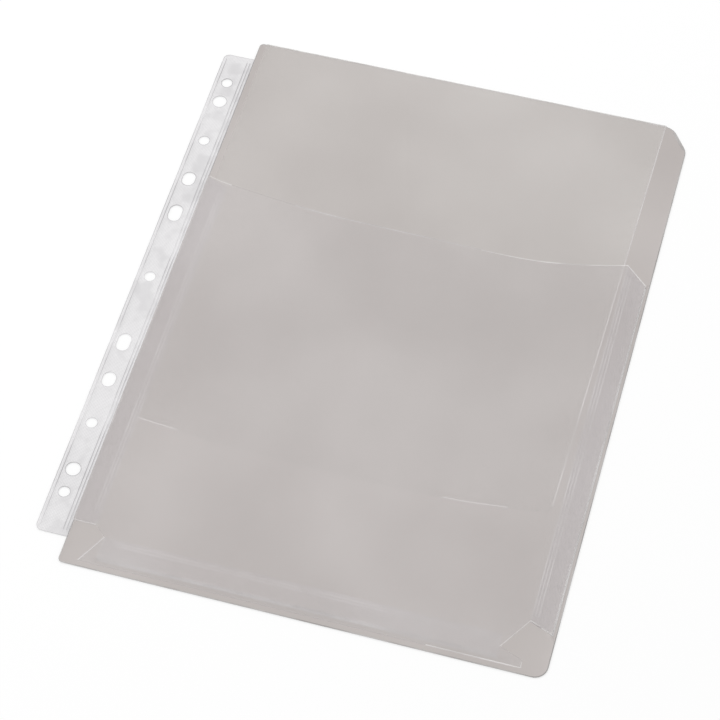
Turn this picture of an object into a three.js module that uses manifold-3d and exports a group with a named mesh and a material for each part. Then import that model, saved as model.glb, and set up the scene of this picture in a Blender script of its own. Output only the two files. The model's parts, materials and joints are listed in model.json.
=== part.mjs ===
import * as THREE from "three";
import { mergeVertices } from "three/addons/utils/BufferGeometryUtils.js";
import Module from "manifold-3d";

const wasm = await Module();
wasm.setup();

// Expanding plastic pocket of thin clear film, lying closed on its back. Sizes are in millimetres.
// X runs across the pocket from the punched strip to the plain side, Y up to the flap's fold, and Z
// out of the front. The origin is under the middle of the whole outline.

// Sheets of film, stacked with a little air between them
const film = 0.25;
const air = 0.3;

// Back sheet, the full size of the pocket
const bodyWidth = 218;
const bodyHeight = 302;
const bodyCorner = 2;
const slantAcross = 9;
const slantDown = 12.5;
const slantCorner = 8;
const lowerRightCorner = 6;

// Folded gussets: each leaf reaches from a fold near the edge of the body to a crease further in
const leafDepth = 10;
const leftSeam = 0.8;
const rightSeam = 2.2;
const bottomSeam = 5.6;
const creaseSlit = 0.15;
const rimWidth = 1.4;
const foldLip = 0.5;

// Side gussets, from the mouth to a slanted end above the bottom edge of the body
const mouthDown = 86.2;
const shoulderDrop = 9.4;
const sideLeafUp = 20.7;
const sideLeafSlant = 3.6;

// Bottom gusset, measured in from the sides of the body
const bottomLeafLeft = 16.4;
const bottomLeafRight = 22.2;

// Front sheet: the dip of its mouth, and the lip below the bottom gusset between two cut-out corners
const mouthDip = 8.8;
const frontLip = 3.9;
const lipLeft = 8.7;
const lipRight = 11.1;

// Flap, folded in at the top edge and tucked behind the front sheet, narrower at its free end
const flapLeft = 3.3;
const flapRight = 12.3;
const flapUp = 74;
const flapTaper = 4;
const flapDip = 5.5;
const flapCorner = 4;

// Curve of a thumb cut: shares of its width, and of its dip there
const thumbCut = [
  [0, 0],
  [0.07, 0.33],
  [0.28, 0.84],
  [0.52, 0.96],
  [0.76, 1],
  [0.89, 0.62],
  [1, 0],
];
const thumbCutSteps = 48;

// Punched strip along the left edge, a little shorter than the body
const stripWidth = 15.2;
const stripDown = 10.6;
const stripUp = 12.7;
const stripCorner = 3;
const stripTongue = 2.6;
const beadWidth = 0.5;
const beadHeight = 0.12;
const outerBeadInset = 1.7;
const seamBeadInsets = [1.4, 2.9];

// Row of holes for ring binders, in pairs on both sides of a middle hole just above the strip's middle
const punchInset = 6.4;
const punchRise = 1.7;
const smallHole = 5.2;
const largeHole = 6.8;
const slotWidth = 6.2;
const shortSlot = 7.8;
const longSlot = 9.4;
const punchPairs = [
  { distance: 38, width: slotWidth, length: longSlot },
  { distance: 59, width: slotWidth, length: shortSlot },
  { distance: 83, width: smallHole, length: smallHole },
  { distance: 108, width: largeHole, length: largeHole },
  { distance: 120, width: smallHole, length: smallHole },
];

// Levels of the sheets from the back one to the front one
const pitch = film + air;
const flapLevel = pitch;
const backLeafLevel = 2 * pitch;
const frontLeafLevel = 3 * pitch;
const frontLevel = 4 * pitch;

// Places across and down the body of the folds and creases, and of the side gussets' ends
const leftFold = leftSeam;
const leftCrease = leftFold + leafDepth;
const rightFold = bodyWidth - rightSeam;
const rightCrease = rightFold - leafDepth;
const bottomFold = bodyHeight - bottomSeam;
const bottomCrease = bottomFold - leafDepth;
const sideLeafEnd = bodyHeight - sideLeafUp;

const bodyLeft = (stripWidth - bodyWidth) / 2;
const bodyTop = bodyHeight / 2;

// Point so far across from the left edge of the body and so far down from its top edge.
function place(across, down) {
  return new THREE.Vector2(bodyLeft + across, bodyTop - down);
}

// Arc that takes off the corner between two straight edges.
function roundedCorner(before, corner, after, radius) {
  const steps = 6;
  const inward = before.clone().sub(corner).normalize();
  const onward = after.clone().sub(corner).normalize();
  const halfAngle = Math.acos(inward.dot(onward)) / 2;
  const bisector = inward.clone().add(onward).normalize();
  const centre = corner.clone().addScaledVector(bisector, radius / Math.sin(halfAngle));
  const start = corner.clone().addScaledVector(inward, radius / Math.tan(halfAngle));
  const end = corner.clone().addScaledVector(onward, radius / Math.tan(halfAngle));
  const from = start.clone().sub(centre);
  const to = end.clone().sub(centre);
  const turn = Math.atan2(from.cross(to), from.dot(to));
  const points = [];
  for (let step = 0; step <= steps; step++) {
    points.push(start.clone().rotateAround(centre, (turn * step) / steps));
  }
  return points;
}

// Closed outline through corners, each an object with a point and, where it is rounded, a radius.
function outline(corners) {
  return corners.flatMap(({ point, radius }, index) => {
    if (!radius) return [point];
    const before = corners.at(index - 1).point;
    const after = corners[(index + 1) % corners.length].point;
    return roundedCorner(before, point, after, radius);
  });
}

// Edge between two points that dips down between them as a thumb cut does.
function thumbCutEdge(from, to, dip) {
  const knots = thumbCut.map(([share, depth]) => {
    const knot = from.clone().lerp(to, share);
    knot.y -= dip * depth;
    return knot;
  });
  return new THREE.SplineCurve(knots).getPoints(thumbCutSteps);
}

// Flat sheet of film with the given outline, its lower face at Z 0.
function sheet(points, holes = [], thickness = film) {
  const shape = new THREE.Shape(points);
  shape.holes = holes;
  return new THREE.ExtrudeGeometry(shape, {
    depth: thickness,
    bevelEnabled: false,
    curveSegments: 12,
  });
}

// Straight-sided patch between two opposite corners.
function patch(corner, opposite, thickness = film) {
  const points = [
    corner,
    new THREE.Vector2(opposite.x, corner.y),
    opposite,
    new THREE.Vector2(corner.x, opposite.y),
  ];
  return sheet(points, [], thickness);
}

// One solid out of pieces that overlap, such as a sheet and its raised beads.
function fused(geometries) {
  const solids = geometries.map((geometry) => {
    const bare = geometry.clone().deleteAttribute("normal").deleteAttribute("uv");
    const merged = mergeVertices(bare, 1e-4);
    const mesh = new wasm.Mesh({
      numProp: 3,
      vertProperties: merged.getAttribute("position").array,
      triVerts: new Uint32Array(merged.index.array),
    });
    return new wasm.Manifold(mesh);
  });
  const { vertProperties, triVerts } = wasm.Manifold.union(solids).getMesh();
  const geometry = new THREE.BufferGeometry();
  geometry.setAttribute("position", new THREE.BufferAttribute(vertProperties, 3));
  geometry.setIndex(new THREE.BufferAttribute(triVerts, 1));
  geometry.computeVertexNormals();
  return geometry;
}

// Back sheet with its slanted corner. The right and bottom seams stand up as rims under the gussets.
function backPanel() {
  const panel = sheet(
    outline([
      { point: place(0, 0), radius: bodyCorner },
      { point: place(0, bodyHeight), radius: bodyCorner },
      { point: place(bodyWidth, bodyHeight), radius: lowerRightCorner },
      { point: place(bodyWidth, slantDown), radius: slantCorner },
      { point: place(bodyWidth - slantAcross, 0), radius: slantCorner },
    ]),
  );
  const rimHeight = flapLevel + film;
  const rightRim = patch(
    place(rightFold - rimWidth / 2, mouthDown + shoulderDrop),
    place(rightFold + rimWidth / 2, sideLeafEnd),
    rimHeight,
  );
  const bottomRim = patch(
    place(bottomLeafLeft, bottomFold - rimWidth / 2),
    place(bodyWidth - bottomLeafRight, bottomFold + rimWidth / 2),
    rimHeight,
  );
  return fused([panel, rightRim, bottomRim]);
}

// Flap with a thumb cut at its free end, whose two corners are rounded.
function topFlap() {
  const foldRight = bodyWidth - flapRight;
  const sideEnd = bodyHeight - flapUp - flapDip;
  const endLeft = place(flapLeft, sideEnd);
  const endRight = place(foldRight - flapTaper, sideEnd);
  const freeEdge = thumbCutEdge(endLeft, endRight, flapDip).filter(
    ({ x }) => x > endLeft.x + 2 * flapCorner && x < endRight.x - 2 * flapCorner,
  );
  return sheet(
    outline([
      { point: place(flapLeft, creaseSlit) },
      { point: endLeft, radius: flapCorner },
      ...freeEdge.map((point) => ({ point })),
      { point: endRight, radius: flapCorner },
      { point: place(foldRight, creaseSlit) },
    ]),
  );
}

// Front sheet with its mouth, the shoulder over the right gusset, and the two cut-out lower corners.
function frontPanel() {
  const leftEdge = leftFold - foldLip;
  const rightEdge = rightFold + foldLip;
  const lipEnd = bottomFold + frontLip;
  const mouth = thumbCutEdge(place(leftEdge, mouthDown), place(rightCrease, mouthDown), mouthDip);
  return sheet(
    outline([
      ...mouth.map((point) => ({ point })),
      { point: place(rightEdge, mouthDown + shoulderDrop), radius: foldLip },
      { point: place(rightEdge, sideLeafEnd), radius: foldLip },
      { point: place(rightCrease, sideLeafEnd - sideLeafSlant) },
      { point: place(bodyWidth - bottomLeafRight + foldLip, bottomFold - frontLip) },
      { point: place(bodyWidth - lipRight, bottomFold) },
      { point: place(bodyWidth - lipRight, lipEnd) },
      { point: place(lipLeft, lipEnd) },
      { point: place(bottomLeafLeft, bottomCrease) },
      { point: place(leftCrease, sideLeafEnd) },
      { point: place(leftEdge, sideLeafEnd) },
    ]),
  );
}

// Leaf of the right gusset, slanted at the top as the shoulder is and a little at the bottom.
function rightLeaf() {
  return sheet([
    place(rightFold, mouthDown + shoulderDrop),
    place(rightCrease + creaseSlit, mouthDown),
    place(rightCrease + creaseSlit, sideLeafEnd - sideLeafSlant),
    place(rightFold, sideLeafEnd),
  ]);
}

// Leaf of the left gusset, which ends just below the mouth.
function leftLeaf() {
  return sheet([
    place(leftFold, mouthDown + foldLip),
    place(leftFold, sideLeafEnd),
    place(leftCrease - creaseSlit, sideLeafEnd),
    place(leftCrease - creaseSlit, mouthDown + mouthDip / 2),
  ]);
}

// Leaf of the bottom gusset, cut square at both ends.
function bottomLeaf() {
  return patch(
    place(bottomLeafLeft, bottomFold),
    place(bodyWidth - bottomLeafRight, bottomCrease + creaseSlit),
  );
}

// Round hole, or a slot whose long side runs up the strip.
function punchedHole(centre, width, length) {
  const radius = width / 2;
  const straight = (length - width) / 2;
  const hole = new THREE.Path();
  hole.absarc(centre.x, centre.y + straight, radius, 0, Math.PI, false);
  hole.absarc(centre.x, centre.y - straight, radius, Math.PI, 2 * Math.PI, false);
  hole.closePath();
  return hole;
}

// Filing strip with its row of holes. Its tongue lies on the back sheet, under the left gusset.
function punchedStrip() {
  const stripEnd = bodyHeight - stripUp;
  const punchDown = (stripDown + stripEnd) / 2 - punchRise;
  const punchAcross = punchInset - stripWidth;
  const holes = [punchedHole(place(punchAcross, punchDown), smallHole, smallHole)];
  for (const { distance, width, length } of punchPairs) {
    for (const way of [-1, 1]) {
      holes.push(punchedHole(place(punchAcross, punchDown + way * distance), width, length));
    }
  }
  const strip = sheet(
    outline([
      { point: place(-stripWidth, stripDown), radius: stripCorner },
      { point: place(-stripWidth, stripEnd), radius: stripCorner },
      { point: place(stripTongue, stripEnd) },
      { point: place(stripTongue, stripDown) },
    ]),
    holes,
  );
  const beadPlaces = [outerBeadInset - stripWidth, ...seamBeadInsets.map((inset) => -inset)];
  const beads = beadPlaces.map((across) =>
    patch(
      place(across - beadWidth / 2, stripDown + stripCorner),
      place(across + beadWidth / 2, stripEnd - stripCorner),
      film + beadHeight,
    ),
  );
  return fused([strip, ...beads]);
}

const clearFilm = new THREE.MeshStandardMaterial({
  color: 0xbdb8b5,
  roughness: 0.25,
  metalness: 0,
  transparent: true,
  opacity: 0.6,
});
const paleFilm = new THREE.MeshStandardMaterial({
  color: 0xdedbdd,
  roughness: 0.5,
  metalness: 0,
  transparent: true,
  opacity: 0.85,
});

// Named piece at its level in the stack.
function piece(name, geometry, material, level) {
  const mesh = new THREE.Mesh(geometry, material.clone());
  mesh.name = name;
  mesh.position.z = level;
  return mesh;
}

// Gusset of two leaves of the same outline, the front one lying on the back one.
function gusset(side, leaf) {
  const leaves = new THREE.Group();
  leaves.name = `${side}_gusset`;
  leaves.add(
    piece(`${side}_gusset_back_leaf`, leaf(), clearFilm, backLeafLevel),
    piece(`${side}_gusset_front_leaf`, leaf(), clearFilm, frontLeafLevel),
  );
  return leaves;
}

const pocket = new THREE.Group();
pocket.name = "expanding_plastic_pocket";
pocket.add(
  piece("back_panel", backPanel(), clearFilm, 0),
  piece("punched_strip", punchedStrip(), paleFilm, flapLevel),
  piece("top_flap", topFlap(), clearFilm, flapLevel),
  gusset("left", leftLeaf),
  gusset("right", rightLeaf),
  gusset("bottom", bottomLeaf),
  piece("front_panel", frontPanel(), clearFilm, frontLevel),
);

export default pocket;
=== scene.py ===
"""Looks of the expanding plastic pocket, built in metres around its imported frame."""

import json
import logging
import math
from dataclasses import dataclass
from enum import Enum, IntEnum
from typing import Any, Mapping, Sequence

import bmesh
import bpy
import numpy as np
from mathutils import Matrix, Vector
from mathutils.geometry import delaunay_2d_cdt

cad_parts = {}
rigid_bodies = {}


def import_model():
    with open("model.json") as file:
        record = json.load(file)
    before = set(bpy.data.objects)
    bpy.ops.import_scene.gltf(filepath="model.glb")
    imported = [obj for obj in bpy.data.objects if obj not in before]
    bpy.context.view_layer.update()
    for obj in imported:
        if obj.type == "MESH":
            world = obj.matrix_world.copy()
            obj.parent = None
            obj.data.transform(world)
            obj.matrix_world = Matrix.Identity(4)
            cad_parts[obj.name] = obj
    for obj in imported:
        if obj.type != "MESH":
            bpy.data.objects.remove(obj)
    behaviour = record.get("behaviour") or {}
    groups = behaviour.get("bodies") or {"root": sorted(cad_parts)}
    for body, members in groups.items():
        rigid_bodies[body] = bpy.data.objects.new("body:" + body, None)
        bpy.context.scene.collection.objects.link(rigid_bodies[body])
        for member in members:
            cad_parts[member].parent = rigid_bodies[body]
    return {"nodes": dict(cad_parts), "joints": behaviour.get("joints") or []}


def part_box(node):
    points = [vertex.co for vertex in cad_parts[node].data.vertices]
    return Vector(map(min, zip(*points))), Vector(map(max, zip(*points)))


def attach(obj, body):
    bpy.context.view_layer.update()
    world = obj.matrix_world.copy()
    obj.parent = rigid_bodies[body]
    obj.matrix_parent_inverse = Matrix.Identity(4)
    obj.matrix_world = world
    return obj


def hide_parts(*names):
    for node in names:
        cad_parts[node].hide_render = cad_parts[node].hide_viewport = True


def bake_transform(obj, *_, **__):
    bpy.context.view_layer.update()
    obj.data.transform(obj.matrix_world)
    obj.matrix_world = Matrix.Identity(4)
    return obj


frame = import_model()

log = logging.getLogger("pocket")

MM = 0.001
FILM_IOR = 1.5
# A face looks down if its normal rises less than this.
DOWNWARD = -0.5
# Keeps a divisor above zero.
TINY = 1e-12
# How far a box reaches past a sheet's edge to hold the whole rim.
PAST_EDGE = 1.0 * MM

Colour = tuple[float, float, float]
Triple = tuple[float, float, float]
Place = tuple[float, float]
Stops = Sequence[tuple[float, float]]


class Value:
    """A socket in a shader. Arithmetic on it adds Math nodes."""

    def __init__(self, shader: "Shader", socket: bpy.types.NodeSocket) -> None:
        """Wraps a socket.

        Args:
            shader: The shader that the socket's node belongs to.
            socket: The output socket.
        """
        self.shader = shader
        self.socket = socket

    def maths(self, operation: str, first: Any, second: Any) -> "Value":
        """Adds one Math node.

        Args:
            operation: The Math node's operation.
            first: A value or a number.
            second: A value or a number.

        Returns:
            The node's result.
        """
        node = self.shader.node("ShaderNodeMath", {"operation": operation}, {0: first, 1: second})
        return Value(self.shader, node.outputs[0])

    def __add__(self, other: Any) -> "Value":
        """Sum of this and another value."""
        return self.maths("ADD", self, other)

    __radd__ = __add__

    def __sub__(self, other: Any) -> "Value":
        """This less another value."""
        return self.maths("SUBTRACT", self, other)

    def __rsub__(self, other: Any) -> "Value":
        """A number less this value."""
        return self.maths("SUBTRACT", other, self)

    def __mul__(self, other: Any) -> "Value":
        """Product of this and another value."""
        return self.maths("MULTIPLY", self, other)

    __rmul__ = __mul__

    def smaller(self, other: Any) -> "Value":
        """The smaller of this and another value."""
        return self.maths("MINIMUM", self, other)

    def larger(self, other: Any) -> "Value":
        """The larger of this and another value."""
        return self.maths("MAXIMUM", self, other)

    def wave(self) -> "Value":
        """Sine of this value, an angle in radians."""
        return self.maths("SINE", self, 0.0)


class Shader:
    """The node tree of one material or world."""

    def __init__(self, owner: bpy.types.Material | bpy.types.World) -> None:
        """Empties the owner's node tree.

        Args:
            owner: The material or world.
        """
        owner.use_nodes = True
        self.tree = owner.node_tree
        self.tree.nodes.clear()

    def node(
        self,
        kind: str,
        settings: Mapping[str, Any] | None = None,
        inputs: Mapping[str | int, Any] | None = None,
    ) -> bpy.types.Node:
        """Adds a node, sets it up and fills its sockets.

        Args:
            kind: The node's type.
            settings: Its properties. A ramp's stops go under "stops".
            inputs: Numbers, colours or values for its sockets, by name or place.

        Returns:
            The node.
        """
        made = self.tree.nodes.new(kind)
        for name, setting in (settings or {}).items():
            if name == "stops":
                self.set_stops(made.color_ramp, setting)
            else:
                setattr(made, name, setting)
        for name, given in (inputs or {}).items():
            if isinstance(given, Value):
                self.tree.links.new(given.socket, made.inputs[name])
            elif isinstance(given, bpy.types.NodeSocket):
                self.tree.links.new(given, made.inputs[name])
            else:
                made.inputs[name].default_value = given
        return made

    @staticmethod
    def set_stops(ramp: bpy.types.ColorRamp, stops: Stops) -> None:
        """Gives a ramp its grey stops.

        Args:
            ramp: The ramp, which starts with two stops.
            stops: Pairs of place and brightness.
        """
        while len(ramp.elements) < len(stops):
            ramp.elements.new(1.0)
        for element, (place, grey) in zip(ramp.elements, stops):
            element.position = place
            element.color = (grey, grey, grey, 1.0)
        ramp.interpolation = "EASE"

    def place(self) -> bpy.types.NodeSocket:
        """Point of the surface in the pocket's own frame."""
        return self.node("ShaderNodeTexCoord").outputs["Object"]

    def plane(self) -> tuple[Value, Value]:
        """Places across and along the pocket, in metres."""
        axes = self.node("ShaderNodeSeparateXYZ", {}, {0: self.place()})
        return Value(self, axes.outputs[0]), Value(self, axes.outputs[1])

    def noise(self, size: float, detail: float = 2.0, stretch: Triple = (1.0, 1.0, 1.0)) -> Value:
        """Adds smooth noise.

        Args:
            size: Rough size of its patches, in metres.
            detail: How many finer layers it has.
            stretch: How often it repeats along each axis beside the others.

        Returns:
            The noise, from 0 to 1.
        """
        mapped = self.node("ShaderNodeMapping", {}, {"Vector": self.place(), "Scale": stretch})
        made = self.node(
            "ShaderNodeTexNoise",
            {"noise_dimensions": "3D"},
            {"Vector": mapped.outputs[0], "Scale": 1.0 / size, "Detail": detail},
        )
        return Value(self, made.outputs[0])

    def ramp(self, value: Value, stops: Stops) -> Value:
        """Passes a value through a grey ramp.

        Args:
            value: The value, from 0 to 1.
            stops: The ramp's stops.

        Returns:
            The ramp's result.
        """
        made = self.node("ShaderNodeValToRGB", {"stops": stops}, {0: value})
        return Value(self, made.outputs[0])

    def mix(self, share: Value, first: Any, second: Any) -> Value:
        """Mixes two colours.

        Args:
            share: How much of the second colour shows.
            first: A colour or a value.
            second: A colour or a value.

        Returns:
            The mixed colour.
        """
        ends = [(*end, 1.0) if isinstance(end, tuple) else end for end in (first, second)]
        made = self.node("ShaderNodeMix", {"data_type": "RGBA"}, {0: share, 6: ends[0], 7: ends[1]})
        return Value(self, made.outputs[2])

    def bump(self, height: Value, depth: float, strength: float) -> Value:
        """Turns a height into a normal.

        Args:
            height: The height, from 0 to 1.
            depth: What a height of 1 stands for, in metres.
            strength: Share of the bump that shows.

        Returns:
            The normal.
        """
        made = self.node(
            "ShaderNodeBump", {}, {"Height": height, "Distance": depth, "Strength": strength}
        )
        return Value(self, made.outputs[0])

    def surface(self, inputs: Mapping[str | int, Any]) -> None:
        """Ends a material in one Principled shader.

        Args:
            inputs: The shader's sockets.
        """
        shader = self.node("ShaderNodeBsdfPrincipled", {}, inputs)
        self.node("ShaderNodeOutputMaterial", {}, {"Surface": shader.outputs[0]})


@dataclass(frozen=True)
class FilmFinish:
    """Smooth clear film, a little milky, with soft clouds in its colour.

    A film with painted-shade colours, deep and pale, is painted darker with them at its lower left
    end. They give way to its own colours from `dim_from` to `dim_to`, along a line that `dim_slant`
    turns across it.
    """

    name: str
    pale: Colour
    deep: Colour
    opacity: float
    roughness: float = 0.34
    shine: float = 0.2
    cloud: float = 110 * MM
    cloud_stops: Stops = ((0.34, 0.0), (0.66, 1.0))
    streak: float = 20 * MM
    streak_share: float = 0.2
    stretch: Triple = (1.0, 0.12, 1.0)
    haze: float = 4 * MM
    haze_spread: float = 0.12
    ripple: float = 45 * MM
    dimple: float = 12 * MM
    dimple_share: float = 0.08
    bump_depth: float = 2.0 * MM
    bump_strength: float = 0.5
    painted_shade: tuple[Colour, Colour] | None = None
    dim_slant: float = 0.5
    dim_from: float = -50 * MM
    dim_to: float = 160 * MM

    def build(self) -> bpy.types.Material:
        """Makes the film's material.

        Returns:
            The material.
        """
        material = bpy.data.materials.new(self.name)
        shader = Shader(material)
        clouds = shader.ramp(shader.noise(self.cloud), self.cloud_stops)
        streaks = shader.noise(self.streak, 1.0, self.stretch)
        share = clouds * (1.0 - self.streak_share) + streaks * self.streak_share
        colour = shader.mix(share, self.deep, self.pale)
        # Painted shade: darker colours towards the film's lower left end.
        if self.painted_shade:
            across, along = shader.plane()
            rise = across * self.dim_slant + along - self.dim_from
            side = (rise * (1.0 / (self.dim_to - self.dim_from))).larger(0.0).smaller(1.0)
            colour = shader.mix(side, shader.mix(share, *self.painted_shade), colour)
        haze = shader.noise(self.haze, 4.0)
        height = shader.noise(self.ripple, 1.5) + shader.noise(self.dimple, 1.0) * self.dimple_share
        shader.surface(
            {
                "Base Color": colour,
                "Roughness": haze * self.haze_spread + (self.roughness - self.haze_spread / 2),
                "IOR": FILM_IOR,
                "Specular IOR Level": self.shine,
                "Alpha": self.opacity,
                "Normal": shader.bump(height, self.bump_depth, self.bump_strength),
            }
        )
        return material


@dataclass(frozen=True)
class LineFinish:
    """A cut edge, crease or weld in the film, painted paler or darker than the film as painted
    highlight or painted shade.
    """

    name: str
    pale: Colour
    deep: Colour
    opacity: float
    roughness: float = 0.3
    glint: float = 30 * MM
    glint_stops: Stops = ((0.35, 0.0), (0.65, 1.0))
    grain: float = 0.8 * MM
    grain_spread: float = 0.2
    bump_depth: float = 0.05 * MM
    bump_strength: float = 0.3

    def build(self) -> bpy.types.Material:
        """Makes the line's material, with painted glints that make it brighter and duller in turn
        along its length.

        Returns:
            The material.
        """
        material = bpy.data.materials.new(self.name)
        shader = Shader(material)
        # Painted glints: patches of painted highlight along the line.
        glints = shader.ramp(shader.noise(self.glint, 3.0), self.glint_stops)
        grain = shader.noise(self.grain)
        shader.surface(
            {
                "Base Color": shader.mix(glints, self.deep, self.pale),
                "Roughness": grain * self.grain_spread + (self.roughness - self.grain_spread / 2),
                "IOR": FILM_IOR,
                "Alpha": self.opacity,
                "Normal": shader.bump(grain, self.bump_depth, self.bump_strength),
            }
        )
        return material


@dataclass(frozen=True)
class EmbossedFinish:
    """Paler film with a fine lattice pressed into it."""

    name: str
    pale: Colour
    deep: Colour
    opacity: float
    roughness: float = 0.35
    pitch: float = 1.4 * MM
    press_share: float = 0.75
    wear: float = 14 * MM
    wear_stops: Stops = ((0.36, 0.1), (0.5, 1.0))
    wear_spread: float = 0.15
    cloud: float = 30 * MM
    cloud_share: float = 0.5
    bump_depth: float = 0.12 * MM
    bump_strength: float = 0.6

    def build(self) -> bpy.types.Material:
        """Makes the embossed film's material.

        Returns:
            The material.
        """
        material = bpy.data.materials.new(self.name)
        shader = Shader(material)
        across, along = shader.plane()
        turn = 2.0 * math.pi / self.pitch
        lattice = ((across + along) * turn).wave() * ((across - along) * turn).wave()
        press = lattice * 0.5 + 0.5
        worn = shader.ramp(shader.noise(self.wear), self.wear_stops)
        share = press * worn * self.press_share + shader.noise(self.cloud) * self.cloud_share
        shader.surface(
            {
                "Base Color": shader.mix(share, self.deep, self.pale),
                "Roughness": worn * self.wear_spread + self.roughness,
                "IOR": FILM_IOR,
                "Alpha": self.opacity,
                "Normal": shader.bump(press * worn, self.bump_depth, self.bump_strength),
            }
        )
        return material


class Look(IntEnum):
    """The looks that a face of the pocket can have. Most of the lines are painted highlights or
    painted shade.
    """

    FILM = 0
    UNDERSIDE = 1
    # A painted highlight along an edge, fold or weld.
    HIGHLIGHT_LINE = 2
    # A softer painted highlight.
    SOFT_HIGHLIGHT_LINE = 3
    # Painted shade along an edge.
    SHADED_LINE = 4
    # The brightest painted highlight.
    GLINT = 5
    # Painted shade: a dark outline along the back sheet's outer edge and slanted corner.
    SHADED_EDGE = 6
    STRIP_LINE = 7


@dataclass(frozen=True)
class Finishes:
    """Every finish of the pocket, built once and shared by its pieces."""

    back: bpy.types.Material
    flap: bpy.types.Material
    front: bpy.types.Material
    upright_leaves: list[bpy.types.Material]
    level_leaves: list[bpy.types.Material]
    strip: bpy.types.Material
    shared: dict[Look, bpy.types.Material]

    @classmethod
    def build(cls) -> "Finishes":
        """Makes the materials.

        Returns:
            The finishes.
        """
        back_pale, back_deep = (0.512, 0.478, 0.464), (0.448, 0.414, 0.40)
        flap = FilmFinish(
            "flap_film",
            (0.572, 0.548, 0.53),
            (0.512, 0.487, 0.469),
            0.58,
            # Painted shade that darkens the flap towards its lower left end.
            painted_shade=((0.415, 0.386, 0.373), (0.465, 0.435, 0.421)),
        )
        front = FilmFinish("front_film", (0.505, 0.477, 0.47), (0.44, 0.412, 0.405), 0.45)
        return cls(
            back=FilmFinish("back_film", back_pale, back_deep, 1.0).build(),
            flap=flap.build(),
            front=front.build(),
            upright_leaves=cls.leaf_films(
                "upright", (0.475, 0.447, 0.455), (0.43, 0.397, 0.394), (1.0, 0.04, 1.0)
            ),
            level_leaves=cls.leaf_films(
                "level", (0.53, 0.51, 0.515), (0.455, 0.42, 0.41), (0.04, 1.0, 1.0)
            ),
            strip=EmbossedFinish("strip_film", (0.93, 0.92, 0.93), (0.63, 0.62, 0.63), 0.80).build(),
            shared={
                Look.UNDERSIDE: FilmFinish("film_underside", back_pale, back_deep, 0.05).build(),
                **cls.lines(),
            },
        )

    @staticmethod
    def leaf_films(way: str, pale: Colour, deep: Colour, stretch: Triple) -> list[bpy.types.Material]:
        """Makes the films of a gusset's two leaves, streaked along the gusset.

        Args:
            way: The way that the gusset runs, for the films' names.
            pale: The films' paler colour.
            deep: The films' deeper colour.
            stretch: How often the streaks repeat along each axis.

        Returns:
            The films of the back leaf and the front leaf.
        """
        return [
            FilmFinish(
                f"{way}_{leaf}_leaf_film",
                pale,
                deep,
                opacity,
                streak=6 * MM,
                streak_share=0.4,
                stretch=stretch,
            ).build()
            for leaf, opacity in (("back", 0.85), ("front", 0.65))
        ]

    @staticmethod
    def lines() -> dict[Look, bpy.types.Material]:
        """Makes the finishes of the edges, creases and welds, with their painted highlights and
        painted shade.

        Returns:
            The finishes, by their looks.
        """
        # Pale colour, deep colour and opacity of each line: the highlight and glint lines are painted
        # highlights, the shaded ones painted shade.
        tones = {
            Look.HIGHLIGHT_LINE: ((0.84, 0.82, 0.81), (0.54, 0.52, 0.51), 0.48),
            Look.SOFT_HIGHLIGHT_LINE: ((0.67, 0.65, 0.65), (0.49, 0.47, 0.47), 0.43),
            Look.SHADED_LINE: ((0.43, 0.41, 0.40), (0.37, 0.35, 0.34), 0.50),
            Look.GLINT: ((0.92, 0.90, 0.90), (0.62, 0.60, 0.60), 0.50),
            Look.SHADED_EDGE: ((0.52, 0.50, 0.49), (0.34, 0.32, 0.31), 0.85),
            Look.STRIP_LINE: ((0.80, 0.79, 0.80), (0.50, 0.49, 0.50), 0.80),
        }
        return {
            look: LineFinish(look.name.lower(), pale, deep, opacity).build()
            for look, (pale, deep, opacity) in tones.items()
        }


def distances(points: np.ndarray, starts: np.ndarray, ends: np.ndarray) -> np.ndarray:
    """Measures how far points lie from the nearest of some straight lines.

    Args:
        points: Points in the plane.
        starts: Where each line starts.
        ends: Where each line ends.

    Returns:
        One distance for each point.
    """
    runs = ends - starts
    squares = np.maximum((runs**2).sum(1), TINY**2)
    shares = ((points[:, None] - starts[None]) * runs[None]).sum(2) / squares
    nearest = starts[None] + np.clip(shares, 0.0, 1.0)[:, :, None] * runs[None]
    return np.sqrt(((points[:, None] - nearest) ** 2).sum(2)).min(1)


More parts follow.
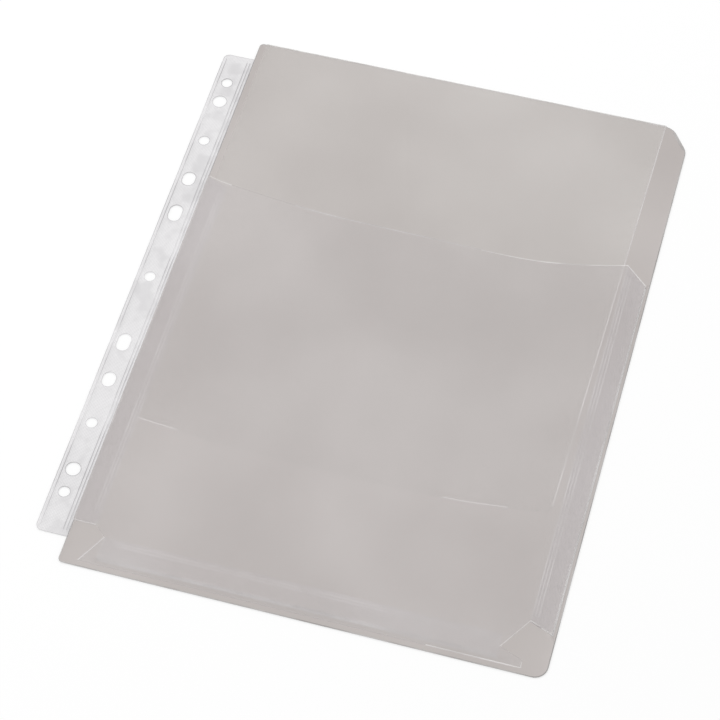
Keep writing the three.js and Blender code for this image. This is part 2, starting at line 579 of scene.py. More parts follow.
@dataclass
class Loop:
    """A closed line of points, with the film on its left."""

    points: np.ndarray

    def ends(self) -> np.ndarray:
        """The point that follows each point."""
        return np.roll(self.points, -1, axis=0)

    def area(self) -> float:
        """Area inside the loop, negative where it turns right."""
        here, there = self.points, self.ends()
        return float((here[:, 0] * there[:, 1] - there[:, 0] * here[:, 1]).sum() / 2)

    def divided(self, step: float) -> "Loop":
        """Divides the long runs of the loop.

        Args:
            step: The longest run that stays whole.

        Returns:
            The divided loop.
        """
        points = []
        for here, there in zip(self.points, self.ends()):
            count = max(1, math.ceil(float(np.linalg.norm(there - here)) / step))
            points += [here + (there - here) * share / count for share in range(count)]
        return Loop(np.array(points))

    def inset(self, distance: float) -> "Loop":
        """Moves the loop into the film.

        Args:
            distance: How far to move it.

        Returns:
            The moved loop.
        """
        runs = self.ends() - self.points
        runs /= np.maximum(np.linalg.norm(runs, axis=1), TINY)[:, None]
        after = np.stack([-runs[:, 1], runs[:, 0]], axis=1)
        before = np.roll(after, 1, axis=0)
        middle = after + before
        middle /= np.maximum(np.linalg.norm(middle, axis=1), TINY)[:, None]
        # A sharp corner moves twice the distance at most.
        lean = np.clip((middle * after).sum(1), 0.5, 1.0)
        return Loop(self.points + middle * (distance / lean)[:, None])

    def holds(self, points: np.ndarray) -> np.ndarray:
        """Finds which points lie inside the loop.

        Args:
            points: Points in the plane.

        Returns:
            True for each point inside.
        """
        here, there = self.points[None], self.ends()[None]
        across, along = points[:, None, 0], points[:, None, 1]
        spans = (here[..., 1] > along) != (there[..., 1] > along)
        rise = np.where(spans, there[..., 1] - here[..., 1], 1.0)
        cut = here[..., 0] + (along - here[..., 1]) * (there[..., 0] - here[..., 0]) / rise
        return (spans & (across < cut)).sum(1) % 2 == 1


def node_loops(node: str) -> list[Loop]:
    """Reads the outline of a CAD node's underside.

    Args:
        node: The node's name.

    Returns:
        The outer loop, and then its holes.
    """
    digits = 7
    mesh = frame["nodes"][node].data
    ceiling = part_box(node)[0].z + 0.01 * MM
    runs = set()
    for polygon in mesh.polygons:
        corners = [mesh.vertices[index].co for index in polygon.vertices]
        if polygon.normal.z < DOWNWARD and max(corner.z for corner in corners) < ceiling:
            keys = [(round(corner.x, digits), round(corner.y, digits)) for corner in corners]
            runs |= {(keys[place - 1], key) for place, key in enumerate(keys)}
    onward = {there: here for here, there in runs if (there, here) not in runs}
    loops = []
    while onward:
        points = [min(onward)]
        while points[-1] in onward:
            points.append(onward.pop(points[-1]))
        loops.append(Loop(np.array(points[:-1])))
    return sorted(loops, key=lambda loop: -abs(loop.area()))


def eased(shares: np.ndarray) -> np.ndarray:
    """Eases shares in and out.

    Args:
        shares: Any numbers; those below 0 count as 0 and those above 1 as 1.

    Returns:
        Shares from 0 to 1 that start and end level.
    """
    shares = np.clip(shares, 0.0, 1.0)
    return shares**2 * (3 - 2 * shares)


@dataclass(frozen=True)
class Wave:
    """A sine wave over the sheets, with its turn in radians for each metre both ways."""

    across: float
    along: float
    start: float
    share: float = 1.0

    def at(self, points: np.ndarray) -> np.ndarray:
        """Gives the wave's height at each point."""
        turn = self.across * points[:, 0] + self.along * points[:, 1] + self.start
        return self.share * np.sin(turn)


@dataclass(frozen=True)
class Relief:
    """Soft waves that all the sheets of the closed pocket share."""

    left: float
    right: float
    bottom: float
    top: float
    height: float = 0.22 * MM
    fade: float = 45 * MM
    waves: tuple[Wave, ...] = (
        Wave(46, 19, 0.6),
        Wave(-31, 52, 2.1, 0.8),
        Wave(88, 35, 4.0, 0.6),
        Wave(24, -97, 1.2, 0.4),
    )

    def at(self, points: np.ndarray) -> np.ndarray:
        """Gives the height of the waves, which die out towards the edges.

        Args:
            points: Points in the plane.

        Returns:
            One height for each point.
        """
        x, y = points[:, 0], points[:, 1]
        across = np.minimum(x - self.left, self.right - x)
        along = np.minimum(y - self.bottom, self.top - y)
        near = eased(np.minimum(across, along) / self.fade)
        highest = sum(wave.share for wave in self.waves)
        swell = sum(wave.at(points) for wave in self.waves) / highest
        return self.height * near * (0.5 + 0.5 * swell)


@dataclass(frozen=True)
class Step:
    """A soft step up towards the left, where a sheet climbs over another's edge."""

    low_end: float
    high_end: float
    height: float

    def at(self, points: np.ndarray) -> np.ndarray:
        """Gives the step's height at each point."""
        share = (self.low_end - points[:, 0]) / (self.low_end - self.high_end)
        return self.height * eased(share)


@dataclass(frozen=True)
class Lit:
    """A box in the plane where a sheet's rim takes a look of its own, such as a painted highlight or
    painted shade.
    """

    low: Place
    high: Place
    look: Look

    def holds(self, points: np.ndarray) -> np.ndarray:
        """Finds which points lie in the box."""
        return ((points > np.array(self.low)) & (points < np.array(self.high))).all(axis=1)

    def moved(self, across: float, along: float) -> "Lit":
        """The same box, moved across and along the plane."""
        low, high = ((x + across, y + along) for x, y in (self.low, self.high))
        return Lit(low, high, self.look)


@dataclass(frozen=True)
class Ridge:
    """A straight raised line in a sheet, such as a weld."""

    start: Place
    end: Place
    width: float
    height: float
    look: Look

    def lines(self) -> list[np.ndarray]:
        """Gives the lines that the mesh follows along the ridge.

        Returns:
            The ridge's crest and its two feet, as pairs of points.
        """
        start, end = np.array(self.start), np.array(self.end)
        run = (end - start) / np.linalg.norm(end - start)
        side = np.array([-run[1], run[0]]) * self.width / 2
        return [np.stack([start + side * way, end + side * way]) for way in (0, -1, 1)]

    def distance(self, points: np.ndarray) -> np.ndarray:
        """How far points lie from the crest."""
        return distances(points, np.array([self.start]), np.array([self.end]))


class Piece:
    """A visible piece, with its mesh and its finishes."""

    sharp_degrees = 50

    def __init__(self, name: str, slot: str) -> None:
        """Starts a piece without a mesh.

        Args:
            name: The piece's name.
            slot: The record's material slot of the piece, kept but not used.
        """
        self.name = name
        self.slot = slot
        self.object: bpy.types.Object | None = None

    def shape(
        self, vertices: np.ndarray, faces: Sequence[Sequence[int]], looks: Sequence[int]
    ) -> None:
        """Makes the piece's mesh.

        Args:
            vertices: Its points.
            faces: The points of each face.
            looks: The look of each face.
        """
        mesh = bpy.data.meshes.new(self.name)
        mesh.from_pydata([tuple(map(float, vertex)) for vertex in vertices], [], faces)
        mesh.polygons.foreach_set("material_index", [int(look) for look in looks])
        mesh.polygons.foreach_set("use_smooth", [True] * len(faces))
        edit = bmesh.new()
        edit.from_mesh(mesh)
        bmesh.ops.recalc_face_normals(edit, faces=edit.faces)
        edit.to_mesh(mesh)
        edit.free()
        mesh.set_sharp_from_angle(angle=math.radians(self.sharp_degrees))
        self.object = bpy.data.objects.new(self.name, mesh)
        bpy.context.scene.collection.objects.link(self.object)

    def dress(
        self,
        film: bpy.types.Material,
        shared: Mapping[Look, bpy.types.Material] | None = None,
        clear: bool = True,
    ) -> None:
        """Gives the piece its finishes.

        Args:
            film: The finish of its film.
            shared: The finishes of its other faces, by their looks.
            clear: True if lamps shine through the piece and its underside has its own finish.
        """
        finishes = {Look.FILM: film, **(shared or {})}
        mesh = self.object.data
        looks = [polygon.material_index for polygon in mesh.polygons]
        if clear and Look.UNDERSIDE in finishes:
            for place, polygon in enumerate(mesh.polygons):
                if looks[place] == Look.FILM and polygon.normal.z < DOWNWARD:
                    looks[place] = int(Look.UNDERSIDE)
        used = sorted(set(looks))
        for look in used:
            mesh.materials.append(finishes[look])
        mesh.polygons.foreach_set("material_index", [used.index(look) for look in looks])
        self.object.visible_shadow = not clear
        self.object.visible_diffuse = not clear
        self.object.visible_glossy = not clear
        log.info("%s: %d faces", self.name, len(self.object.data.polygons))


@dataclass
class FilmSheet:
    """A sheet of film with a CAD node's outline, a beaded rim and raised lines."""

    node: str
    relief: Relief
    slot: str = "clear_film"
    ridges: Sequence[Ridge] = ()
    lit: Sequence[Lit] = ()
    rim_look: Look = Look.FILM
    level: float | None = None
    climb: Step | None = None
    thickness: float = 0.20 * MM
    lift: float = 0.02 * MM
    rim: float = 0.45 * MM
    bead: float = 0.05 * MM
    step: float = 3.0 * MM
    grid: float = 5.0 * MM
    merge: float = 0.00001 * MM

    def build(self) -> Piece:
        """Makes the sheet as one closed solid.

        Returns:
            The piece, with a look for each of its faces.
        """
        loops = [loop.divided(self.step) for loop in node_loops(self.node)]
        starts = np.concatenate([loop.points for loop in loops])
        ends = np.concatenate([loop.ends() for loop in loops])
        points, edges = self.constraints(loops)
        points += self.inner_points(loops, starts, ends)
        flat, _, triangles, *_ = delaunay_2d_cdt(
            [Vector(point) for point in points], edges, [], 0, self.merge
        )
        plan = np.array([tuple(point) for point in flat])
        corners = np.array([list(triangle) for triangle in triangles])
        centres = plan[corners].mean(axis=1)
        inside = loops[0].holds(centres)
        for hole in loops[1:]:
            inside &= ~hole.holds(centres)
        corners, centres = corners[inside], centres[inside]
        used = np.unique(corners)
        renumbered = np.full(len(plan), -1)
        renumbered[used] = np.arange(len(used))
        plan, corners = plan[used], renumbered[corners]
        rim = distances(centres, starts, ends) < self.rim
        looks = np.where(rim, int(self.rim_look), int(Look.FILM))
        for lit in self.lit:
            looks[rim & lit.holds(centres)] = lit.look
        for ridge in self.ridges:
            looks[ridge.distance(centres) < ridge.width / 2] = ridge.look
        return self.solid(plan, corners, looks, distances(plan, starts, ends))

    def constraints(self, loops: Sequence[Loop]) -> tuple[list[Place], list[tuple[int, int]]]:
        """Gathers the lines that the mesh has to follow.

        Args:
            loops: The sheet's outline and holes.

        Returns:
            Their points, and their runs as pairs of point numbers.
        """
        points: list[Place] = []
        edges: list[tuple[int, int]] = []
        for loop in loops:
            for distance in (0.0, self.rim / 2, self.rim):
                ring = loop.inset(distance).points
                first = len(points)
                points += [tuple(point) for point in ring]
                edges += [(first + i, first + (i + 1) % len(ring)) for i in range(len(ring))]
        for ridge in self.ridges:
            for start, end in ridge.lines():
                count = max(2, math.ceil(float(np.linalg.norm(end - start)) / self.step))
                first = len(points)
                points += [tuple(start + (end - start) * i / count) for i in range(count + 1)]
                edges += [(first + i, first + i + 1) for i in range(count)]
        return points, edges

    def inner_points(
        self, loops: Sequence[Loop], starts: np.ndarray, ends: np.ndarray
    ) -> list[Place]:
        """Spreads points over the sheet, clear of its lines.

        Args:
            loops: The sheet's outline and holes.
            starts: Where each run of them starts.
            ends: Where each run of them ends.

        Returns:
            The points.
        """
        low, high = loops[0].points.min(axis=0), loops[0].points.max(axis=0)
        columns, rows = np.ceil((high - low) / self.grid).astype(int) + 1
        across, along = np.meshgrid(
            np.linspace(low[0], high[0], columns), np.linspace(low[1], high[1], rows)
        )
        across[1::2] += self.grid / 2
        points = np.stack([across.ravel(), along.ravel()], axis=1)
        clear = distances(points, starts, ends) > self.rim + self.step / 2
        for ridge in self.ridges:
            clear &= ridge.distance(points) > ridge.width / 2 + self.step / 2
        return [tuple(point) for point in points[clear & loops[0].holds(points)]]

    def solid(
        self, plan: np.ndarray, corners: np.ndarray, looks: np.ndarray, inward: np.ndarray
    ) -> Piece:
        """Gives the flat mesh its thickness.

        Args:
            plan: Its points in the plane.
            corners: Three point numbers for each triangle.
            looks: The look of each triangle.
            inward: How far each point lies from the sheet's edge.

        Returns:
            The piece.
        """
        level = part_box(self.node)[0].z if self.level is None else self.level
        below = level + self.lift + self.relief.at(plan)
        if self.climb:
            below += self.climb.at(plan)
        middle = self.rim / 2
        crest = np.clip(1 - np.abs(inward - middle) / middle, 0.0, 1.0)
        above = below + self.thickness + self.bead * crest
        for ridge in self.ridges:
            share = np.clip(1 - ridge.distance(plan) / (ridge.width / 2), 0.0, 1.0)
            above += ridge.height * np.sqrt(share)
        top = np.column_stack([plan, above])
        bottom = np.column_stack([plan, below])
        count = len(plan)
        faces = [tuple(map(int, face)) for face in corners]
        runs = {(face[i], face[(i + 1) % 3]) for face in faces for i in range(3)}
        walls = sorted((a, b) for a, b in runs if (b, a) not in runs)
        faces += [(c + count, b + count, a + count) for a, b, c in faces]
        faces += [(a + count, b + count, b, a) for a, b in walls]
        kinds = [*looks, *looks, *[self.rim_look] * len(walls)]
        piece = Piece(f"{self.node}_film", self.slot)
        piece.shape(np.concatenate([top, bottom]), faces, kinds)
        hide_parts(self.node)
        return piece


class Run(Enum):
    """The way that a fold runs, as the number of its axis."""

    ALONG_X = 0
    ALONG_Y = 1


@dataclass
class Fold:
    """Film turned back on itself round a straight line, from a lower sheet to an upper one."""

    name: str
    run: Run
    pivot: Vector
    span: tuple[float, float]
    bulge: int
    lead: float = 0.0
    first_angle: float = -math.pi / 2
    radius: float = 0.275 * MM
    thickness: float = 0.20 * MM
    bends: int = 12
    step: float = 6.0 * MM

    def profile(self) -> np.ndarray:
        """Draws the fold's cross-section.

        Returns:
            A closed line of places: out from the pivot, and up.
        """
        angles = np.linspace(self.first_angle, math.pi / 2, self.bends + 1)
        sides = []
        for way in (1, -1):
            radius = self.radius + way * self.thickness / 2
            arc = np.column_stack([radius * np.cos(angles), radius * np.sin(angles)])
            low, high = ([[-self.lead, rise]] if self.lead else [] for rise in (-radius, radius))
            sides.append(np.array([*low, *arc.tolist(), *high])[::way])
        return np.concatenate(sides)

    def build(self) -> Piece:
        """Sweeps the cross-section along the fold.

        Returns:
            The piece.
        """
        profile = self.profile()
        count = max(2, math.ceil((self.span[1] - self.span[0]) / self.step))
        stations = np.linspace(*self.span, count + 1)
        across = self.pivot[1 - self.run.value] + self.bulge * profile[:, 0]
        rise = self.pivot.z + profile[:, 1]
        rings = []
        for station in stations:
            held = np.full(len(profile), station)
            pair = (held, across) if self.run is Run.ALONG_X else (across, held)
            rings.append(np.column_stack([*pair, rise]))
        size = len(profile)
        faces = []
        for ring in range(count):
            here, there = size * ring, size * (ring + 1)
            for i in range(size):
                after = (i + 1) % size
                faces.append((here + i, here + after, there + after, there + i))
        for ring in (0, count):
            first, last = size * ring, size * (ring + 1) - 1
            faces += [
                (first + i, first + i + 1, last - i - 1, last - i) for i in range(size // 2 - 1)
            ]
        piece = Piece(self.name, "clear_film")
        piece.shape(np.concatenate(rings), faces, [Look.FILM] * len(faces))
        return piece

    def hang(self, film: bpy.types.Material, joint: str | None) -> None:
        """Makes the fold and dresses it; a fold without a joint rides on the front sheet.

        Args:
            film: The fold's finish.
            joint: The joint at the fold, or nothing if it rides on the front sheet.
        """
        piece = self.build()
        piece.dress(film)
        if joint:
            lower, upper = (frame_joint(joint)[end] for end in ("parent", "child"))
            step = Vector((0.0, 0.0, self.radius))
            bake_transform(piece.object, lower, upper, self.pivot - step, self.pivot + step)
        else:
            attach(piece.object, "front")


class Side(Enum):
    """The sides of the pocket that have a gusset: its run and the way out of the pocket."""

    LEFT = ("left", Run.ALONG_Y, -1)
    RIGHT = ("right", Run.ALONG_Y, 1)
    BOTTOM = ("bottom", Run.ALONG_X, -1)


def frame_joint(name: str) -> Mapping[str, Any]:
    """What the frame says of a joint."""
    return next(joint for joint in frame["joints"] if joint["name"] == name)


def joint_place(name: str) -> Vector:
    """The point that a joint of the frame turns about."""
    return Vector(frame_joint(name)["pos_m"])


@dataclass
class Gusset:
    """One folded gusset: two leaves and the folds that hold them to the sheets."""

    side: Side
    relief: Relief
    back_joint: str
    crease_joint: str
    front_joint: str | None = None
    pressed_insets: tuple[float, ...] = (1.3 * MM, 2.7 * MM)
    pressed_end: float = 6.5 * MM
    pressed_width: float = 0.4 * MM
    pressed_height: float = 0.02 * MM
    end_depth: float = 2.0 * MM
    edge_reach: float = 0.3 * MM

    def pressed_lines(self, outline: Loop, crease: float) -> list[Ridge]:
        """Lays faint lines beside the crease, where the film was pressed, with a soft painted
        highlight along them.

        Args:
            outline: The leaf's outline.
            crease: Where the crease lies across the gusset.

        Returns:
            The lines.
        """
        _, run, outward = self.side.value
        reach = outline.points[:, run.value]
        ends = (float(reach.min()) + self.pressed_end, float(reach.max()) - self.pressed_end)
        lines = []
        for inset in self.pressed_insets:
            across = crease + outward * inset
            if run is Run.ALONG_X:
                start, end = ((along, across) for along in ends)
            else:
                start, end = ((across, along) for along in ends)
            lines.append(Ridge(start, end, self.pressed_width, self.pressed_height, Look.SOFT_HIGHLIGHT_LINE))
        return lines

    def span(self, loop: Loop, across: float) -> tuple[float, float]:
        """Reads how far a leaf reaches along one of its long edges.

        Args:
            loop: The leaf's outline.
            across: Where the edge lies across the gusset.

        Returns:
            The two ends of the edge.
        """
        run = self.side.value[1]
        near = np.abs(loop.points[:, 1 - run.value] - across) < self.edge_reach
        reach = loop.points[near, run.value]
        return float(reach.min()), float(reach.max())

    def lit_end(self, node: str) -> Lit:
        """Finds the end of a leaf that faces the lamp, where its rim gets a painted highlight.

        Args:
            node: The leaf's CAD node.

        Returns:
            A box around that end.
        """
        run = self.side.value[1].value
        low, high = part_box(node)
        nearest = (low.x - PAST_EDGE, low.y - PAST_EDGE)
        farthest = [high.x + PAST_EDGE, high.y + PAST_EDGE]
        farthest[run] = low[run] + self.end_depth
        return Lit(nearest, tuple(farthest), Look.HIGHLIGHT_LINE)

    def build(self, finishes: Finishes) -> None:
        """Makes the gusset's pieces and dresses them.

        Args:
            finishes: The pocket's finishes.
        """
        name, run, outward = self.side.value
        films = finishes.level_leaves if run is Run.ALONG_X else finishes.upright_leaves
        outline = node_loops(f"{name}_gusset_back_leaf")[0]
        fold, crease = joint_place(self.back_joint), joint_place(self.crease_joint)
        across = 1 - run.value
        pressed = self.pressed_lines(outline, crease[across])
        for leaf, film in zip(("back_leaf", "front_leaf"), films):
            node = f"{name}_gusset_{leaf}"
            sheet = FilmSheet(node, self.relief, ridges=pressed, lit=(self.lit_end(node),))
            piece = sheet.build()
            piece.dress(film, finishes.shared)
            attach(piece.object, f"{name}_{leaf}")
        # The folds get a soft painted highlight.
        soft = finishes.shared[Look.SOFT_HIGHLIGHT_LINE]
        fold_span = self.span(outline, fold[across])
        back = Fold(f"{name}_back_fold", run, fold, fold_span, outward)
        back.hang(soft, self.back_joint)
        crease_span = self.span(outline, crease[across])
        slit = min(abs(outline.points[:, across] - crease[across]))
        middle = Fold(f"{name}_crease_fold", run, crease, crease_span, -outward, slit)
        middle.hang(soft, self.crease_joint)
        upper = fold.copy()
        upper.z = 2 * crease.z - fold.z
        first_angle = -math.pi / 2 if self.front_joint else 0.0
        front = Fold(f"{name}_front_fold", run, upper, fold_span, outward, first_angle=first_angle)
        front.hang(soft, self.front_joint)


@dataclass
class BackSheet:
    """The full-size back sheet, with the welds of its right and bottom seams, painted highlights
    along them and its seam with the strip, and painted shade along its edge.
    """

    relief: Relief
    weld_width: float = 1.4 * MM
    weld_height: float = 0.55 * MM
    shoulder_drop: float = 9.4 * MM
    climb_length: float = 4 * MM
    climb_height: float = 0.24 * MM
    seam_depth: float = 4 * MM
    # A faint ridge at the slanted corner, with painted shade along it.
    slant: Ridge = Ridge(
        (108.6 * MM, 147.9 * MM), (114.9 * MM, 139.2 * MM), 0.8 * MM, 0.04 * MM, Look.SHADED_EDGE
    )

    def weld(self, start: Place, end: Place) -> Ridge:
        """A weld between two places, with a soft painted highlight along it."""
        return Ridge(start, end, self.weld_width, self.weld_height, Look.SOFT_HIGHLIGHT_LINE)

    def build(self, finishes: Finishes) -> None:
        """Makes the sheet and dresses it.

        Args:
            finishes: The pocket's finishes.
        """
        right_low, right_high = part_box("right_gusset_back_leaf")
        bottom_low, bottom_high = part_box("bottom_gusset_back_leaf")
        across = joint_place("pocket_opening").x
        along = joint_place("bottom_back_fold").y
        right_weld = self.weld((across, right_low.y), (across, right_high.y - self.shoulder_drop))
        bottom_weld = self.weld((bottom_low.x, along), (bottom_high.x, along))
        low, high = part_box("punched_strip")
        climb = Step(high.x + self.climb_length, high.x, self.climb_height)
        # A soft painted highlight along the seam with the strip.
        strip_seam = Lit((high.x - self.seam_depth, low.y), (high.x, high.y), Look.SOFT_HIGHLIGHT_LINE)
        piece = FilmSheet(
            "back_panel",
            self.relief,
            ridges=(right_weld, bottom_weld, self.slant),
            lit=(strip_seam,),
            # Painted shade: a dark outline along the sheet's outer edge.
            rim_look=Look.SHADED_EDGE,
            climb=climb,
        ).build()
        piece.dress(finishes.back, finishes.shared, clear=False)
        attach(piece.object, "back")


@dataclass
class TopFlap:
    """The long flap, with a soft crease from handling, painted highlights and painted shade along its
    edges, and the fold that it hangs on.
    """

    relief: Relief
    crease: Ridge = Ridge(
        (-23.5 * MM, 143.0 * MM), (-4.0 * MM, 72.0 * MM), 1.6 * MM, 0.05 * MM, Look.FILM
    )
    # Boxes of painted light along the edges: how deep they reach, where the painted shade along the
    # free end starts, and the stretches of painted highlight on it.
    edge_depth: float = 8 * MM
    dark_start: float = 3 * MM
    glints: tuple[tuple[float, float], ...] = ((2 * MM, 26 * MM), (150 * MM, 180 * MM))
    edge_reach: float = 0.5 * MM

    def build(self, finishes: Finishes) -> None:
        """Makes the flap and its fold and dresses them.

        Args:
            finishes: The pocket's finishes.
        """
        low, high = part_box("top_flap")
        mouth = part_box("front_panel")[1].y
        inner, outer = high.x - self.edge_depth, high.x + PAST_EDGE
        below, above = low.y - PAST_EDGE, low.y + self.edge_depth
        # Painted highlights on the right edge, softer above the mouth, painted shade along the free
        # end and brighter painted highlights on stretches of it.
        lit = [
            Lit((inner, mouth), (outer, high.y), Look.SOFT_HIGHLIGHT_LINE),
            Lit((inner, low.y), (outer, mouth), Look.HIGHLIGHT_LINE),
            Lit((low.x + self.dark_start, below), (high.x, above), Look.SHADED_LINE),
        ]
        for start, end in self.glints:
            lit.append(Lit((low.x + start, below), (low.x + end, above), Look.HIGHLIGHT_LINE))
        piece = FilmSheet("top_flap", self.relief, ridges=(self.crease,), lit=lit).build()
        piece.dress(finishes.flap, finishes.shared)
        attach(piece.object, "flap")
        pivot = joint_place("flap_fold")
        reach = node_loops("top_flap")[0].points
        near = reach[reach[:, 1] > high.y - self.edge_reach, 0]
        span = (float(near.min()), float(near.max()))
        fold = Fold("flap_fold_roll", Run.ALONG_X, pivot, span, 1, pivot.y - high.y)
        # The roll of the fold gets a painted highlight.
        fold.hang(finishes.shared[Look.HIGHLIGHT_LINE], "flap_fold")


@dataclass
class FrontSheet:
    """The front sheet with its thumb-cut mouth, and painted highlights along parts of the mouth, its
    notches and its lower lip.

    The parts of the mouth are measured from its left end, and the notches and the lip from
    the sheet's nearest lower corner.
    """

    relief: Relief
    mouth_depth: float = 9.6 * MM
    # Stretches of painted highlight along the mouth, and boxes of painted highlight at the notches
    # and the lip.
    mouth_parts: tuple[tuple[float, float, Look], ...] = (
        (1 * MM, 13 * MM, Look.HIGHLIGHT_LINE),
        (45 * MM, 137 * MM, Look.SOFT_HIGHLIGHT_LINE),
        (137 * MM, 220 * MM, Look.HIGHLIGHT_LINE),
    )
    left_notch: Lit = Lit((7 * MM, 0.8 * MM), (17 * MM, 14 * MM), Look.GLINT)
    right_notch: Lit = Lit((-21 * MM, 7.6 * MM), (-7 * MM, 23 * MM), Look.HIGHLIGHT_LINE)
    right_lip: Lit = Lit((-50 * MM, -1 * MM), (-9 * MM, 3 * MM), Look.HIGHLIGHT_LINE)

    def build(self, finishes: Finishes) -> None:
        """Makes the sheet and dresses it.

        Args:
            finishes: The pocket's finishes.
        """
        low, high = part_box("front_panel")
        below, above = high.y - self.mouth_depth, high.y + PAST_EDGE
        lit = [
            Lit((low.x + start, below), (low.x + end, above), look)
            for start, end, look in self.mouth_parts
        ]
        lit += [part.moved(high.x, low.y) for part in (self.right_notch, self.right_lip)]
        lit.append(self.left_notch.moved(low.x, low.y))
        piece = FilmSheet("front_panel", self.relief, lit=lit).build()
        piece.dress(finishes.front, finishes.shared)
        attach(piece.object, "front")


@dataclass
class FilingStrip:
    """The punched strip, with a bead by its outer edge and two by its seam."""

    relief: Relief
    bead_width: float = 0.5 * MM
    bead_height: float = 0.12 * MM
    outer_inset: float = 1.7 * MM
    seam_insets: tuple[float, float] = (1.4 * MM, 2.9 * MM)
    end_inset: float = 3.0 * MM

    def build(self, finishes: Finishes) -> None:
        """Makes the strip and dresses it.

        Args:
            finishes: The pocket's finishes.
        """
        low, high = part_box("punched_strip")
        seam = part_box("back_panel")[0].x
        places = [low.x + self.outer_inset, *(seam - inset for inset in self.seam_insets)]
        beads = [
            Ridge(
                (across, low.y + self.end_inset),
                (across, high.y - self.end_inset),
                self.bead_width,
                self.bead_height,
                Look.STRIP_LINE,
            )
            for across in places
        ]
        piece = FilmSheet(
            "punched_strip",
            self.relief,
            "pale_film",
            beads,
            rim_look=Look.STRIP_LINE,
            level=0.0,
            rim=0.3 * MM,
            grid=3.0 * MM,
        ).build()
        piece.dress(finishes.strip, finishes.shared, clear=False)
        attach(piece.object, "back")


@dataclass(frozen=True)
class Lamp:
    """A square lamp that shines on the pocket."""

    name: str
    place: Triple
    power: float
    size: float

    def build(self) -> None:
        """Hangs the lamp and turns it to the pocket."""
        data = bpy.data.lights.new(self.name, "AREA")
        data.energy = self.power
        data.size = self.size
        lamp = bpy.data.objects.new(self.name, data)
        lamp.location = self.place
        lamp.rotation_mode = "QUATERNION"
        lamp.rotation_quaternion = (-Vector(self.place)).to_track_quat("-Z", "Y")
        bpy.context.scene.collection.objects.link(lamp)
        log.info("%s: %.1f W", self.name, self.power)


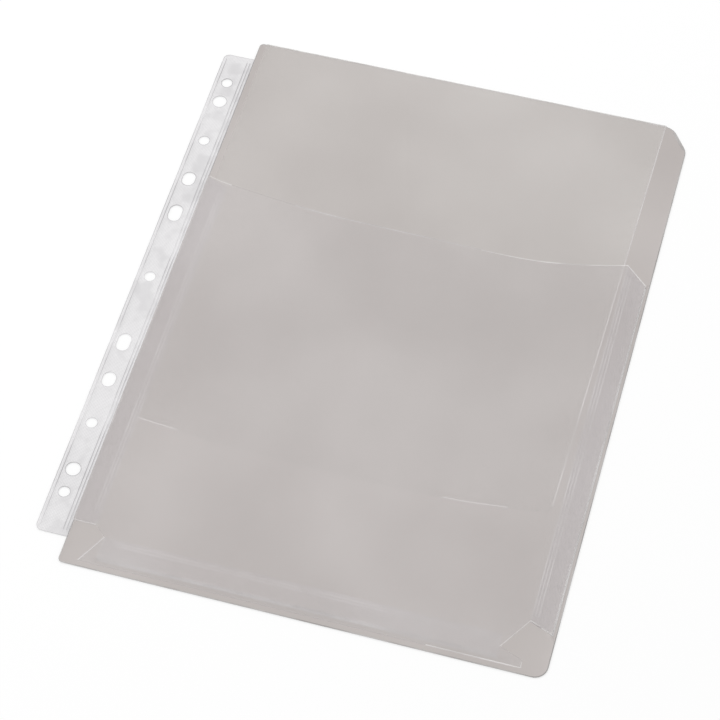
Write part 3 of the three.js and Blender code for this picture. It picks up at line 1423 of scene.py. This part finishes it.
@dataclass(frozen=True)
class Studio:
    """Pale floor, soft light and the photograph's camera, with its angles in degrees."""

    floor_size: float = 12.0
    floor_depth: float = 0.3 * MM
    floor_colour: Colour = (0.93, 0.93, 0.93)
    floor_glow: float = 0.6
    sky: float = 0.84
    azimuth: float = -17.906
    elevation: float = 57.108
    roll: float = -2.472
    distance: float = 1.1330
    target: Triple = (-0.00249, -0.01658, 0.0)
    sensor: float = 36.0
    lens: float = 124.035
    lamp: Lamp = Lamp("key_lamp", (-0.9, 0.5, 1.5), 11.0, 1.4)

    def build(self) -> None:
        """Makes the studio."""
        self.build_camera()
        self.build_floor()
        self.build_sky()
        self.lamp.build()

    @staticmethod
    def seen(shader: Shader) -> Value:
        """Finds the rays that show a surface, by themselves or in a mirror or glass.

        Args:
            shader: The shader to add the nodes to.

        Returns:
            1 for such a ray, 0 for one that only brings light.
        """
        rays = shader.node("ShaderNodeLightPath")
        camera, glossy, through = (
            Value(shader, rays.outputs[f"Is {kind} Ray"])
            for kind in ("Camera", "Glossy", "Transmission")
        )
        return camera.larger(glossy).larger(through)

    def build_camera(self) -> None:
        """Makes the camera where the photograph was taken from."""
        azimuth, elevation = math.radians(self.azimuth), math.radians(self.elevation)
        level = math.cos(elevation)
        forward = Vector((math.sin(azimuth) * level, math.cos(azimuth) * level, -math.sin(elevation)))
        right = forward.cross(Vector((0.0, 0.0, 1.0))).normalized()
        up = right.cross(forward)
        roll = math.radians(self.roll)
        tilted_right = math.cos(roll) * right + math.sin(roll) * up
        tilted_up = -math.sin(roll) * right + math.cos(roll) * up
        axes = Matrix((tilted_right, tilted_up, -forward)).transposed().to_4x4()
        axes.translation = Vector(self.target) - forward * self.distance
        data = bpy.data.cameras.new("camera")
        data.sensor_width = self.sensor
        data.lens = self.lens
        camera = bpy.data.objects.new("camera", data)
        camera.matrix_world = axes
        bpy.context.scene.collection.objects.link(camera)
        bpy.context.scene.camera = camera

    def build_floor(self) -> None:
        """Makes the pale floor just under the pocket."""
        half = self.floor_size / 2
        mesh = bpy.data.meshes.new("floor")
        corners = [(-half, -half), (half, -half), (half, half), (-half, half)]
        mesh.from_pydata([(x, y, -self.floor_depth) for x, y in corners], [], [(0, 1, 2, 3)])
        floor = bpy.data.objects.new("floor", mesh)
        bpy.context.scene.collection.objects.link(floor)
        material = bpy.data.materials.new("floor")
        shader = Shader(material)
        lit = shader.node("ShaderNodeBsdfDiffuse", {}, {"Color": (*self.floor_colour, 1.0)})
        white = shader.node("ShaderNodeEmission", {}, {"Strength": 1.0})
        both = shader.node(
            "ShaderNodeMixShader",
            {},
            {0: self.seen(shader) * self.floor_glow, 1: lit.outputs[0], 2: white.outputs[0]},
        )
        shader.node("ShaderNodeOutputMaterial", {}, {"Surface": both.outputs[0]})
        mesh.materials.append(material)

    def build_sky(self) -> None:
        """Makes the world: white to look at, and softer as a light."""
        world = bpy.data.worlds.new("sky")
        bpy.context.scene.world = world
        shader = Shader(world)
        white = (1.0, 1.0, 1.0, 1.0)
        light, shown = (
            shader.node("ShaderNodeBackground", {}, {"Color": white, "Strength": strength})
            for strength in (self.sky, 1.0)
        )
        both = shader.node(
            "ShaderNodeMixShader",
            {},
            {0: self.seen(shader), 1: light.outputs[0], 2: shown.outputs[0]},
        )
        shader.node("ShaderNodeOutputWorld", {}, {"Surface": both.outputs[0]})


def main() -> None:
    """Builds the pocket and its studio."""
    logging.basicConfig(level=logging.INFO, format="%(message)s")
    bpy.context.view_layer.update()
    bpy.context.scene.view_settings.view_transform = "Standard"
    Studio().build()
    low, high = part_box("back_panel")
    relief = Relief(low.x, high.x, low.y, high.y)
    finishes = Finishes.build()
    BackSheet(relief).build(finishes)
    FilingStrip(relief).build(finishes)
    TopFlap(relief).build(finishes)
    Gusset(Side.LEFT, relief, "left_back_fold", "left_crease").build(finishes)
    Gusset(Side.RIGHT, relief, "pocket_opening", "right_crease", "right_front_fold").build(finishes)
    Gusset(Side.BOTTOM, relief, "bottom_back_fold", "bottom_crease").build(finishes)
    FrontSheet(relief).build(finishes)


if __name__ == "__main__":
    main()
